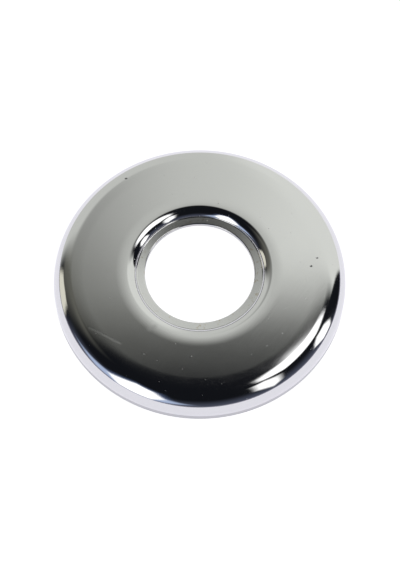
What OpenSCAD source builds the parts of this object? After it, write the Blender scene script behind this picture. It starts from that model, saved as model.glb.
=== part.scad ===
// Faucet escutcheon: a round wall flange drawn from one disc of sheet metal and chrome plated.
// It lies rim down, with the wall at z = 0 and the visible face on top. The pipe comes through
// the hole along Z.

/* [Rim] */
// Outside diameter of the rim
outer_d = 70; // [56:0.5:110]
// Height of the face above the wall
rim_h = 7.5; // [6.5:0.1:14]
// Outside radius of the bend between the skirt and the face
rim_bend_r = 5; // [2:0.1:6]
// Radius of the rolled corner where the skirt was trimmed
foot_round_r = 0.25; // [0.1:0.05:0.45]

/* [Sheet] */
// Thickness of the sheet metal
sheet_t = 1; // [0.5:0.05:1.5]

/* [Throat] */
// Radius over which the face rolls down into the throat, on the visible side
throat_bend_r = 2.75; // [2:0.05:5]
// Radius of the crease where the throat meets the seat, on the visible side
seat_bend_r = 0.5; // [0.2:0.05:1]
// Depth of the seat's outer edge below the face
seat_depth = 2; // [1:0.1:2.2]

/* [Seat] */
// Diameter of the seat's outer edge
seat_d = 29.6; // [28:0.2:36]
// How far the seat falls towards the hole, for each millimetre inwards
seat_fall = 0.07; // [0:0.01:0.15]
// Diameter of the pierced hole that clears the pipe
hole_d = 26; // [20:0.1:27]
// Radius that the punch rolled into the upper edge of the hole
hole_round_r = 0.3; // [0.1:0.05:0.45]

/* [Hidden] */
facets = 180;
plate_colour = "silver";

outer_r = outer_d / 2;
seat_r = seat_d / 2;
hole_r = hole_d / 2;

// Height of the seat's visible side at a given radius
function seat_z(r) = rim_h - seat_depth - seat_fall * (seat_r - r);

// Centre of the bend between the skirt and the face, seen in the section
rim_centre = [outer_r - rim_bend_r, rim_h - rim_bend_r];

// The throat's two bends touch each other, so the distance between their centres is the sum of
// their radii, and how far they lie apart sideways follows from the seat's depth
bends_apart = throat_bend_r + seat_bend_r;
bends_run = sqrt(seat_depth * (2 * bends_apart - seat_depth));
seat_centre = [seat_r, seat_z(seat_r) + seat_bend_r];
throat_centre = [seat_r + bends_run, rim_h - throat_bend_r];

// Centres of the two rolled edges
hole_round_centre = [hole_r + hole_round_r, seat_z(hole_r + hole_round_r) - hole_round_r];
foot_round_centre = [outer_r - foot_round_r, foot_round_r];

// What a rounding of radius r takes off a square corner that points to [side[0], side[1]]
module rolled_off(centre, r, side) {
    reach = 2 * r;
    translate(centre)
        difference() {
            polygon([[0, 0], [reach * side[0], 0], reach * side, [0, reach * side[1]]]);
            circle(r = r, $fn = facets);
        }
}

// Everything under the face and inside the skirt, at a depth into the sheet. It runs past the
// foot by the same depth, which leaves a clean cut there.
module rim_outline(depth) {
    difference() {
        translate([0, -depth])
            square([outer_r - depth, rim_h]);
        rolled_off(rim_centre, rim_bend_r - depth, [1, 1]);
    }
}

// The room that the throat and the seat leave open above them, at a depth into the sheet
module throat_room(depth) {
    difference() {
        union() {
            polygon([[0, seat_z(0) - depth],
                     [seat_r, seat_z(seat_r) - depth],
                     seat_centre,
                     throat_centre,
                     [throat_centre[0], rim_h],
                     [0, rim_h]]);
            translate(seat_centre)
                circle(r = seat_bend_r + depth, $fn = facets);
        }
        translate(throat_centre)
            circle(r = throat_bend_r - depth, $fn = facets);
    }
}

// Everything that lies deeper in the sheet than its visible side
module under_sheet(depth) {
    difference() {
        rim_outline(depth);
        throat_room(depth);
    }
}

// Section of the sheet: skirt, rim bend, face, throat, seat and hole
module sheet_section() {
    difference() {
        under_sheet(0);
        under_sheet(sheet_t);
        square([hole_r, rim_h]);
        rolled_off(hole_round_centre, hole_round_r, [-1, 1]);
        rolled_off(foot_round_centre, foot_round_r, [1, -1]);
    }
}

// The whole flange: one sheet, turned once round the pipe's axis
module escutcheon() {
    color(plate_colour)
        rotate_extrude($fn = facets)
            sheet_section();
}

escutcheon();
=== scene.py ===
# %% Load the frame
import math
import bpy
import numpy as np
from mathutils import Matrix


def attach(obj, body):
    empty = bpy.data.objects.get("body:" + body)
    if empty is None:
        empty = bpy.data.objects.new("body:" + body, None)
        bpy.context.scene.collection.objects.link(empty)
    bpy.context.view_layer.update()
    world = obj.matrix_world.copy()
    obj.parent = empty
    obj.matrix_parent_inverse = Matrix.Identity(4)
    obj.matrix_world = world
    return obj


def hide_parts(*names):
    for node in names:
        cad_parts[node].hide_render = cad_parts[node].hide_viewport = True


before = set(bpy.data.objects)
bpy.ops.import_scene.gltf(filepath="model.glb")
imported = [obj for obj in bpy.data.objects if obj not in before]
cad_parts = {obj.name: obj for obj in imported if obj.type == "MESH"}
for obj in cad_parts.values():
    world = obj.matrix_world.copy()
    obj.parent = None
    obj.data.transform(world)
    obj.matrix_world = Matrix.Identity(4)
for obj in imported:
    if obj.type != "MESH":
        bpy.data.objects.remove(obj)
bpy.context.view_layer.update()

# %% [markdown]
# A faucet escutcheon is the round flange that hides the hole in the wall behind a tap. It is one
# disc of sheet steel, pressed in a die and then plated with nickel and chrome. So this scene has
# one piece, one metal, and a room of lights for the metal to reflect.
# The model is in metres. A maker measures such a part in millimetres, so every size below is
# written in millimetres and multiplied by MM where it goes into a mesh.

MM = 0.001

# %% [markdown]
# The section. A pressed sheet has no sharp corners: it is a chain of bends and straight runs, and
# each one starts in the direction in which the last one ended. A polygon with rounded corners could
# give it, but a walk is closer to how the sheet runs through the die, and it gives something that a
# polished part needs most: the exact direction in which the surface faces at each point.
# The heading is an angle in the plane of radius and height. The outside of the sheet is always on
# the right of the walker. A bend to the left is convex, a bend to the right is hollow.

# %% Walk along the section
def outward(heading):
    """The unit vector to the right of a heading in degrees: (sine, minus cosine)."""
    angle = np.radians(heading)
    return np.stack([np.sin(angle), -np.cos(angle)], axis=-1)


def walk(start, heading, moves):
    """Points and outward directions along a chain of moves.

    ("run", length, steps) goes straight on: start plus heading times distance.
    ("bend", radius, turn, steps) goes round a centre that lies one radius to the left: each point
    is the centre plus the radius times the outward direction. A negative radius puts the centre
    on the right.
    """
    here = np.array(start, dtype=float)
    points = [here[None]]
    facing = [outward(np.array([heading]))]
    for move in moves:
        if move[0] == "run":
            along = np.linspace(0, move[1], move[2] + 1)[1:, None]
            ahead = outward(heading + 90)
            points.append(here + along * ahead)
            facing.append(np.repeat(outward(heading)[None], move[2], axis=0))
        else:
            radius, turn, steps = move[1:]
            headings = np.linspace(heading, heading + turn, steps + 1)[1:]
            centre = here - radius * outward(heading)
            points.append(centre + radius * outward(headings))
            facing.append(outward(headings))
            heading = heading + turn
        here = points[-1][-1]
    return np.concatenate(points), np.concatenate(facing)


# %% [markdown]
# The sizes of the sheet, all on the visible side. The face is 7.5 mm off the wall. It isn't quite
# flat: for some millimetres round the throat it sags towards it by less than a tenth, because the
# punch pulled the sheet in, and it eases into the rim bend. Both are too small to see as a shape,
# but a mirror doubles every angle, so they make the soft halos round the throat and the rim.

# %% Visible side of the sheet
OUTER_R = 35.0
FACE_Z = 7.5
RIM_BEND = 5.0
RIM_EASE = 52.0
EASE_TURN = 3.0
FOOT_ROUND = 0.25
THICK = 1.0
SAG_START = 20.0
SAG_BEND = 48.0
SAG_TURN = 3.2
THROAT_BEND = 2.85
THROAT_SLOPE = 60.0
CREASE_BEND = 0.3
SEAT_FALL = 5.5
HOLE_R = 13.0
HOLE_ROUND = 0.3

ease = math.radians(EASE_TURN)
rim_rise = RIM_BEND * math.cos(ease) + RIM_EASE * (1 - math.cos(ease))
rim_run = RIM_BEND * (1 - math.sin(ease)) + RIM_EASE * math.sin(ease)
to_crease = [
    ("bend", FOOT_ROUND, 90, 6),
    ("run", FACE_Z - rim_rise - FOOT_ROUND, 8),
    ("bend", RIM_BEND, 90 - EASE_TURN, 48),
    ("bend", RIM_EASE, EASE_TURN, 8),
    ("run", OUTER_R - rim_run - SAG_START, 10),
    ("bend", SAG_BEND, SAG_TURN, 12),
    ("bend", THROAT_BEND, THROAT_SLOPE - SAG_TURN, 30),
    ("bend", -CREASE_BEND, SEAT_FALL - THROAT_SLOPE, 12),
]
skin, skin_facing = walk((OUTER_R - FOOT_ROUND, 0), 0, to_crease)
seat_run = (skin[-1, 0] - HOLE_R - HOLE_ROUND) / math.cos(math.radians(SEAT_FALL))
skin, skin_facing = walk((OUTER_R - FOOT_ROUND, 0), 0, to_crease + [("run", seat_run, 6)])
print("Seat from radius", round(skin[-7, 0], 2), "at", round(skin[-7, 1], 2), "mm above the wall")

# %% [markdown]
# The underside is the same skin, moved inwards by the sheet's thickness: each point minus the
# thickness times its outward direction. It needs fewer points, since it isn't polished. Round the
# hole the punch left a rolled upper edge and a plain cut wall, and the foot is cut square. These
# short walks join the two skins to one closed loop.

# %% Underside, hole edge and foot
EDGE_ROUND = 0.08

inner = skin - THICK * skin_facing
keep = np.flatnonzero(skin[:, 1] > 2.0)[::3][::-1]
inner, inner_facing = inner[keep], -skin_facing[keep]
cut_foot = inner[0, 1]
bore_drop = skin[-1, 1] - HOLE_ROUND - cut_foot - EDGE_ROUND
bore, bore_facing = walk(skin[-1], 180 + SEAT_FALL, [
    ("bend", HOLE_ROUND, 90 - SEAT_FALL, 8),
    ("run", bore_drop, 3),
    ("bend", EDGE_ROUND, 90, 4),
])
foot, foot_facing = walk((OUTER_R - THICK, 1.2), 270, [
    ("run", 1.2 - EDGE_ROUND, 2),
    ("bend", EDGE_ROUND, 90, 4),
])
loop = np.concatenate([skin, bore[1:], inner, foot])
loop_facing = np.concatenate([skin_facing, bore_facing[1:], inner_facing, foot_facing])
below = np.concatenate([np.zeros(len(skin)), np.linspace(0, 1, len(bore) - 1),
                        np.ones(len(inner) + len(foot))])
print("Section of", len(loop), "points")

# %% [markdown]
# Turning the section gives the part. Point (i, j) of the grid is section point i, turned by angle
# j: (radius times cosine, radius times sine, height). The faces join neighbours in both directions,
# and both directions close on themselves, so the sheet is watertight. The outward directions turn
# the same way, and they go into the mesh as its normals: the facets then don't show in the mirror.

# %% Grids and meshes
def turned(radius, height, angle):
    """Grid of points: radius by (cosine, sine) of the angle, and the height."""
    spread = np.ones_like(angle)[None]
    return np.stack([radius[:, None] * np.cos(angle), radius[:, None] * np.sin(angle),
                     height[:, None] * spread], axis=-1).reshape(-1, 3)


def quads(rows, columns, closed):
    """Corner numbers of the faces between neighbours in a grid. The columns close on themselves,
    and where closed is true the rows do so too."""
    i, j = np.meshgrid(np.arange(rows if closed else rows - 1), np.arange(columns), indexing="ij")
    next_i, next_j = (i + 1) % rows, (j + 1) % columns
    return np.stack([i * columns + j, i * columns + next_j,
                     next_i * columns + next_j, next_i * columns + j], axis=-1).reshape(-1, 4)


def grid_mesh(name, places, corners):
    """A smooth mesh from an array of points and an array of four corner numbers for each face."""
    mesh = bpy.data.meshes.new(name)
    mesh.vertices.add(len(places))
    mesh.vertices.foreach_set("co", places.ravel())
    mesh.loops.add(corners.size)
    mesh.loops.foreach_set("vertex_index", corners.ravel())
    mesh.polygons.add(len(corners))
    mesh.polygons.foreach_set("loop_start", np.arange(len(corners)) * 4)
    mesh.update(calc_edges=True)
    mesh.validate()
    mesh.shade_smooth()
    return mesh


# %% The pressed plate
TURN_STEPS = 480

angle = np.arange(TURN_STEPS) * (2 * np.pi / TURN_STEPS)
places = turned(loop[:, 0], loop[:, 1], angle) * MM
normals = turned(loop_facing[:, 0], loop_facing[:, 1], angle)
corners = quads(len(loop), TURN_STEPS, closed=True)
sheet = grid_mesh("pressed_sheet", places, corners)
sheet.normals_split_custom_set_from_vertices(normals)
side = sheet.attributes.new("underside", "FLOAT", "POINT")
side.data.foreach_set("value", np.repeat(below, TURN_STEPS))
plate = bpy.data.objects.new("pressed_plate", sheet)
bpy.context.collection.objects.link(plate)
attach(plate, "root")
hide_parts("escutcheon")
print(len(corners) * 2, "triangles in", plate.name)

# %% [markdown]
# The metal. Chrome is a mirror with a little grey in it, so almost everything that shows is a
# reflection. The finish then lies in how well each zone was polished, and in marks of a few
# thousandths of a millimetre. A material is a tree of nodes. These helpers keep each step of the
# tree to one line that reads like the sum it makes.

# %% Helpers for shader nodes
def add(tree, kind, **settings):
    """A new node with its properties set, and inputs given as in_0, in_1 and so on, or by name."""
    node = tree.nodes.new(kind)
    for name, value in settings.items():
        if not name.startswith("in_"):
            setattr(node, name, value)
            continue
        key = name[3:]
        key = int(key) if key.isdigit() else key.replace("_", " ")
        if isinstance(value, bpy.types.NodeSocket):
            tree.links.new(value, node.inputs[key])
        else:
            node.inputs[key].default_value = value
    return node


def math_of(tree, operation, a, b=0.0):
    """One sum, product or function of two values."""
    return add(tree, "ShaderNodeMath", operation=operation, in_0=a, in_1=b).outputs[0]


def vector_of(tree, operation, a, b=(0, 0, 0)):
    """One operation on two vectors. A dot product, distance or length comes out as a value."""
    node = add(tree, "ShaderNodeVectorMath", operation=operation, in_0=a, in_1=b)
    return node.outputs["Value" if operation in ("DOT_PRODUCT", "DISTANCE", "LENGTH") else "Vector"]


def ramp(tree, value, low, high):
    """A smooth step: 0 below low, 1 above high. With low above high it falls instead of rising."""
    return add(tree, "ShaderNodeMapRange", interpolation_type="SMOOTHSTEP", in_Value=value,
               in_From_Min=low, in_From_Max=high).outputs["Result"]


def weighted(tree, start, *pairs):
    """Start plus the sum of each value times its weight."""
    total = start
    for value, weight in pairs:
        total = add(tree, "ShaderNodeMath", operation="MULTIPLY_ADD",
                    in_0=value, in_1=weight, in_2=total).outputs[0]
    return total


def blend(tree, share, first, second):
    """The first colour where the share is 0, the second where it is 1."""
    return add(tree, "ShaderNodeMix", data_type="RGBA", in_0=share, in_6=first, in_7=second).outputs[2]


def grain(tree, where, scale, detail):
    """Soft noise from 0 to 1, with about scale cells to the unit."""
    return add(tree, "ShaderNodeTexNoise", in_Vector=where, in_Scale=scale, in_Detail=detail).outputs[0]


# %% [markdown]
# Zones. The buffing wheel reached the face, the bend and the throat, but not the seat and not the
# last two millimetres above the foot, where the sheet kept the satin of the die. Each zone follows
# the radius or the height in millimetres, which come from the Object coordinates. The underside
# has its own attribute on the mesh, because it lies at the same radius as the top.

# %% Zones of the plate
chrome = bpy.data.materials.new("chrome_plate")
chrome.use_nodes = True
tree = chrome.node_tree
tree.nodes.clear()
out = add(tree, "ShaderNodeOutputMaterial")
metal = add(tree, "ShaderNodeBsdfPrincipled", in_Metallic=1.0)
tree.links.new(metal.outputs["BSDF"], out.inputs["Surface"])
object_place = add(tree, "ShaderNodeTexCoord").outputs["Object"]
spot = vector_of(tree, "MULTIPLY", object_place, (1 / MM, 1 / MM, 1 / MM))
flat = vector_of(tree, "MULTIPLY", spot, (1, 1, 0))
round_way = vector_of(tree, "NORMALIZE", flat)
radius = vector_of(tree, "LENGTH", flat)
height = add(tree, "ShaderNodeSeparateXYZ", in_0=spot).outputs["Z"]

foot_zone = ramp(tree, height, 1.95, 1.85)
seat_zone = ramp(tree, radius, 15.1, 14.8)
face_zone = math_of(tree, "MULTIPLY", ramp(tree, radius, 31, 29), ramp(tree, radius, 17.2, 18.2))
bend_zone = ramp(tree, radius, 29.5, 31)
under = add(tree, "ShaderNodeAttribute", attribute_name="underside").outputs["Fac"]

# %% [markdown]
# Wear. The plate isn't new: it has a few pits, a short cluster of scratches, one longer mark like
# a fold near the left edge, a smudge beside the throat, and some bright specks. Each mark is a
# stroke: the distance from a point to the nearest point of a short line, turned into a share that
# fades with that distance. Noise can make such marks too, but not at a chosen place.

# %% Marks at chosen places
def stroke(tree, flat, start, end, width):
    """1 on the line from start to end, fading to 0 at a width from it. The nearest point of the
    line is start plus the line times a share, and the share is the dot product of the line with
    the way from start, over the line's length squared, kept between 0 and 1."""
    line = np.subtract(end, start)
    way = vector_of(tree, "SUBTRACT", flat, (*start, 0))
    share = vector_of(tree, "DOT_PRODUCT", way, (*(line / line.dot(line)), 0))
    share = add(tree, "ShaderNodeClamp", in_0=share).outputs[0]
    ahead = vector_of(tree, "MULTIPLY", add(tree, "ShaderNodeCombineXYZ", in_0=share, in_1=share).outputs[0],
                      (*line, 0))
    return ramp(tree, vector_of(tree, "DISTANCE", way, ahead), width, 0)


def all_strokes(tree, flat, strokes):
    """The strongest of several strokes at each point."""
    strongest = 0.0
    for start, end, width in strokes:
        strongest = math_of(tree, "MAXIMUM", strongest, stroke(tree, flat, start, end, width))
    return strongest


PITS = [((-18.1, 24.7), (-17.9, 24.7), 0.40), ((26.3, 0.7), (26.5, 0.7), 0.32), ((27.8, 2.9), (28.0, 2.9), 0.28)]
SCRATCHES = [((-22.6, -1.5), (-21.2, -0.3), 0.16), ((-22.3, -0.2), (-21.5, -1.6), 0.14),
             ((-21.6, -0.1), (-20.9, -1.2), 0.12), ((-25.7, -15.1), (-18.4, -19.1), 0.5)]
SMUDGE = [((-11.8, -15.7), (-10.4, -14.9), 0.9)]

pits = all_strokes(tree, flat, PITS)
scratches = all_strokes(tree, flat, SCRATCHES)
smudge = all_strokes(tree, flat, SMUDGE)
specks = math_of(tree, "MULTIPLY", ramp(tree, grain(tree, spot, 1.9, 0), 0.83, 0.87), 0.8)

# %% [markdown]
# Roughness says how far a reflection blurs. The bend and the throat are the brightest, the face is
# a little hazy in patches, the seat is duller, and the foot and underside are satin.

# %% Roughness
haze = math_of(tree, "MULTIPLY", face_zone, grain(tree, spot, 0.3, 4))
rough = weighted(tree, 0.06, (face_zone, 0.02), (haze, 0.04), (seat_zone, 0.07), (foot_zone, 0.3),
                 (under, 0.38), (scratches, 0.12), (smudge, 0.12), (specks, 0.3))
tree.links.new(rough, metal.inputs["Roughness"])

# %% [markdown]
# Relief. Polishing leaves fine parallel lines, here up to the right and strongest on the lower
# right of the face. Drawing leaves fine lines across the bend and upright ones on the foot band.
# All of them are noise that is squeezed across its lines and stretched along them. The sheet also
# has a slow wave of a few thousandths, which makes the edges of the reflections waver.
# All heights are in thousandths of a millimetre, so the bump's distance is one of those.

# %% Relief of the surface
POLISH_AT = math.radians(55)

along = vector_of(tree, "DOT_PRODUCT", flat, (math.cos(POLISH_AT), math.sin(POLISH_AT), 0))
across = vector_of(tree, "DOT_PRODUCT", flat, (-math.sin(POLISH_AT), math.cos(POLISH_AT), 0))
polish = grain(tree, add(tree, "ShaderNodeCombineXYZ", in_0=math_of(tree, "MULTIPLY", along, 0.06),
                         in_1=across).outputs[0], 2.2, 3)
lower_right = ramp(tree, vector_of(tree, "DOT_PRODUCT", flat, (0.7, -0.7, 0)), -12, 20)
polish_share = math_of(tree, "MULTIPLY", face_zone, weighted(tree, 0.35, (lower_right, 1.3)))
draw = grain(tree, vector_of(tree, "MULTIPLY", round_way, (75, 75, 0)), 1, 2)
upright = grain(tree, vector_of(tree, "ADD", vector_of(tree, "MULTIPLY", round_way, (105, 105, 0)),
                                vector_of(tree, "MULTIPLY", spot, (0, 0, 0.4))), 1, 3)
wave = grain(tree, spot, 0.13, 1)
relief = weighted(tree, 0.0, (math_of(tree, "MULTIPLY", polish, polish_share), 1.2),
                  (math_of(tree, "MULTIPLY", draw, bend_zone), 1.6),
                  (math_of(tree, "MULTIPLY", upright, foot_zone), 14), (wave, 5), (pits, -30),
                  (scratches, -2))
bump = add(tree, "ShaderNodeBump", in_Strength=1.0, in_Distance=MM / 1000, in_Height=relief)
tree.links.new(bump.outputs["Normal"], metal.inputs["Normal"])

# %% [markdown]
# Colour. Chrome is almost neutral. Water left faint brown spots on the seat and the pits are dark. The
# foot band is a darker grey, partly its duller satin and partly painted shade of the floor it mirrors
# there, a painted shadow line darkens the bottom where the plate meets the floor, and the underside
# has only the thin dull grey plate.

# %% Colour
CHROME = (0.69, 0.69, 0.69, 1)
STAIN = (0.58, 0.54, 0.48, 1)
PIT = (0.10, 0.10, 0.10, 1)
FOOT_SHADOW_LINE = (0.38, 0.38, 0.38, 1)
BARE = (0.50, 0.50, 0.49, 1)
SATIN_WITH_SHADE = (0.50, 0.50, 0.51, 1)

stains = math_of(tree, "MULTIPLY", seat_zone, ramp(tree, grain(tree, spot, 1.1, 2), 0.60, 0.74))
colour = blend(tree, stains, CHROME, STAIN)
colour = blend(tree, pits, colour, PIT)
# The foot band's darker grey is partly its duller satin and partly painted shade of the floor it mirrors beside
# the foot.
colour = blend(tree, foot_zone, colour, SATIN_WITH_SHADE)
# Painted shadow: the lowest few tenths of a millimetre are darkened where the foot meets the floor.
colour = blend(tree, ramp(tree, height, 0.35, 0.1), colour, FOOT_SHADOW_LINE)
colour = blend(tree, under, colour, BARE)
tree.links.new(colour, metal.inputs["Base Color"])
plate.data.materials.append(chrome)

# %% [markdown]
# The room. A mirror shows its surroundings, so the room is as much part of the look as the metal.
# The flange lies on a white floor in a dark room. Behind it stands a light tent, and round it hang
# white panels. The camera sees none of them, only their reflections.
# One dome carries them all. Its brightness is a function of the direction, written as a few panels
# with soft edges, and a grid of points takes the values. Lamps would be simpler, but they reflect
# as hard discs.

# %% Directions, soft steps and panels
ROOM = 0.35


def toward(azimuth, elevation):
    """Unit vectors: azimuth 0 is the far side and 90 the right, as seen from the camera."""
    a, e = np.radians(azimuth), np.radians(elevation)
    return np.stack([np.sin(a) * np.cos(e), np.cos(a) * np.cos(e), np.sin(e)], axis=-1)


def soft_step(value, none, full):
    """0 at none and 1 at full: a share t from 0 to 1, then t squared times (3 minus 2 t)."""
    t = np.clip((value - none) / (full - none), 0, 1)
    return t * t * (3 - 2 * t)


def panel(look, corners, soft):
    """How much of a panel lies in each direction. Two neighbouring corners and the middle of the
    room span a plane. The panel is where a direction lies on the inner side of all these planes,
    and soft is the width of each edge in degrees."""
    corner = toward(*np.array(corners, dtype=float).T)
    plane = np.cross(corner, np.roll(corner, -1, axis=0))
    plane /= np.linalg.norm(plane, axis=1, keepdims=True)
    plane *= np.sign(plane @ corner.mean(axis=0))[:, None]
    above = np.degrees(np.arcsin(np.clip(look @ plane.T, -1, 1)))
    return soft_step(above / np.array(soft), -0.5, 0.5).min(axis=-1)


# %% Brightness of the room
WHITE = (1.7, 1.7, 1.7)
TENT = np.array((0.72, 0.735, 0.70))
CREAM = (0.92, 0.90, 0.77)
BLUE = (0.28, 0.38, 0.68)
DUSK = (0.08, 0.09, 0.13)
OLIVE = (0.15, 0.15, 0.13)
SKIRTING = (0.30, 0.30, 0.37)
WING = (0.55, 0.66, 0.92)
DARK = (0.008, 0.009, 0.012)

TENT_CORNERS = [(-64, -5), (-20.5, 65.3), (30, 63.6), (66, 43.4), (66, -5)]
WING_CORNERS = [(-102, 13), (-120, 23), (-160, 23), (-174, 12), (-160, 5), (-118, 5)]
CREAM_CORNERS = [(-66, 3), (-65, 25), (-72, 31), (-79, 29), (-86, 9), (-86, 3)]
WINDOW_CORNERS = [(-125, 20), (-137, 48), (-151, 41), (-160, 20), (-153, 3), (-133, 3)]
HIGH_CORNERS = [(33, 71.5), (42, 66), (69, 54), (88, 49), (117, 52.5), (130, 64), (115, 74), (70, 77)]
RIGHT_CORNERS = [(88, 38), (89, 20), (92, 8), (100, 7), (106, 19), (102, 31), (95, 40)]
NEAR_RIGHT_CORNERS = [(132, 56), (127, 44), (132, 20), (137, 13), (146, 30), (142, 53)]

turns = np.linspace(-180, 180, 721)[:-1]
rises = np.append(np.arange(0, 90, 0.5), 89.9)
az, el = np.meshgrid(turns, rises)
look = toward(az, el)


def paint(room, share, colour):
    """The room with a colour laid over it: room times (1 minus share) plus colour times share."""
    return room * (1 - share[..., None]) + np.asarray(colour) * share[..., None]


lean = np.degrees(np.arctan2(look[..., 2], look[..., 1]))
room = np.zeros_like(look) + DARK
room = paint(room, soft_step(el, 38, 4) * soft_step(np.abs(az), 80, 105), DUSK)
room = paint(room, soft_step(lean, 73.5, 70.5) * soft_step(np.abs(az), 60, 25), np.multiply(TENT, 0.14))
room = paint(room, soft_step(el, 8, 0), SKIRTING)
right_gain = 1 + 0.26 * soft_step(az, 0, 18)
left_loss = 1 - 0.45 * soft_step(el, 40, 58) * soft_step(az, 2, -22)
tent_look = TENT * (right_gain * left_loss)[..., None]
tent_share = panel(look, TENT_CORNERS, [14, 8, 8, 3, 1])
olive_share = soft_step(az, -98, -52) * soft_step(el, 15, 35) * soft_step(el, 72, 60) * (az < 0)
room = paint(room, olive_share, OLIVE)
room = paint(room, tent_share, tent_look)
room = paint(room, panel(look, CREAM_CORNERS, 5), CREAM)
room = paint(room, panel(look, WINDOW_CORNERS, 16), BLUE)
room = paint(room, panel(look, WING_CORNERS, 9), WING)
room = paint(room, panel(look, WINDOW_CORNERS, 5), WHITE)
room = paint(room, panel(look, HIGH_CORNERS, 4), WHITE)
room = paint(room, panel(look, RIGHT_CORNERS, [3, 3, 3, 3, 3, 3, 8]), WHITE)
room = paint(room, panel(look, NEAR_RIGHT_CORNERS, 6), WHITE)
print("Mean brightness of the room:", round(float((room.mean(-1) * np.cos(np.radians(el))).mean()), 3))

# %% The dome
glow = bpy.data.materials.new("room_glow")
glow.use_nodes = True
tree = glow.node_tree
tree.nodes.clear()
out = add(tree, "ShaderNodeOutputMaterial")
level = add(tree, "ShaderNodeAttribute", attribute_name="level")
shine = add(tree, "ShaderNodeEmission", in_Color=level.outputs["Color"], in_Strength=1.0)
tree.links.new(shine.outputs[0], out.inputs["Surface"])

dome_mesh = grid_mesh("light_dome", (look * ROOM).reshape(-1, 3), quads(len(rises), len(turns), closed=False))
layer = dome_mesh.color_attributes.new("level", "FLOAT_COLOR", "POINT")
layer.data.foreach_set("color", np.append(room, np.ones_like(room[..., :1]), axis=-1).ravel())
dome_mesh.materials.append(glow)
dome = bpy.data.objects.new("light_dome", dome_mesh)
bpy.context.collection.objects.link(dome)
dome.visible_camera = False

# %% [markdown]
# The floor is plain white paper. Its own shading keeps the shadow, and most of its brightness is a
# glow that only the camera and the mirror see, so that it reads as white without more light. The
# mirror sees it slightly lavender, which is the tint along the foot of the flange.

# %% Floor
bpy.ops.mesh.primitive_plane_add(size=6)
floor = bpy.context.object
floor.name = "paper_floor"
paper = bpy.data.materials.new("white_paper")
paper.use_nodes = True
tree = paper.node_tree
tree.nodes.clear()
out = add(tree, "ShaderNodeOutputMaterial")
path = add(tree, "ShaderNodeLightPath")
mirrored = math_of(tree, "MAXIMUM", path.outputs["Is Glossy Ray"], path.outputs["Is Transmission Ray"])
seen = math_of(tree, "MAXIMUM", path.outputs["Is Camera Ray"], mirrored)
tint = blend(tree, mirrored, (0.965, 0.965, 0.965, 1), (0.93, 0.92, 1.0, 1))
matte = add(tree, "ShaderNodeBsdfDiffuse", in_Color=(0.3, 0.3, 0.3, 1))
lit = add(tree, "ShaderNodeEmission", in_Color=tint, in_Strength=seen)
both = add(tree, "ShaderNodeAddShader", in_0=matte.outputs[0], in_1=lit.outputs[0])
tree.links.new(both.outputs[0], out.inputs["Surface"])
floor.data.materials.append(paper)

# %% World
world = bpy.data.worlds.new("white_backdrop")
bpy.context.scene.world = world
world.use_nodes = True
tree = world.node_tree
tree.nodes.clear()
out = add(tree, "ShaderNodeOutputWorld")
path = add(tree, "ShaderNodeLightPath")
tint = blend(tree, path.outputs["Is Camera Ray"], (*DARK, 1), (1, 1, 1, 1))
back = add(tree, "ShaderNodeBackground", in_Color=tint)
tree.links.new(back.outputs[0], out.inputs["Surface"])

# %% [markdown]
# The camera looks down at the flange from arm's length. A position, a steep angle and a long lens
# follow from the photograph's ellipses: the ratio of their axes gives the angle, and how far the
# near half is larger than the far half gives the distance. A small shift sets the middle.

# %% Camera
EYE_FAR = 0.35
EYE_UP = 64.18
PIXELS_PER_MM = 4.139
CENTRE_PX = (199.7, 282.82)
PHOTO_PX = (400, 570)

lens = bpy.data.cameras.new("photo_lens")
eye = bpy.data.objects.new("photo_camera", lens)
bpy.context.collection.objects.link(eye)
up = math.radians(EYE_UP)
eye.location = (0, -EYE_FAR * math.cos(up), EYE_FAR * math.sin(up))
eye.rotation_euler = (math.pi / 2 - up, 0, 0)
lens.sensor_fit = "HORIZONTAL"
lens.sensor_width = 36
lens.lens = PIXELS_PER_MM * EYE_FAR / MM * lens.sensor_width / PHOTO_PX[0]
lens.shift_x = (PHOTO_PX[0] / 2 - CENTRE_PX[0]) / PHOTO_PX[0]
lens.shift_y = (CENTRE_PX[1] - PHOTO_PX[1] / 2) / PHOTO_PX[0]
lens.clip_start = 0.01
bpy.context.scene.camera = eye
bpy.context.scene.view_settings.view_transform = "Standard"
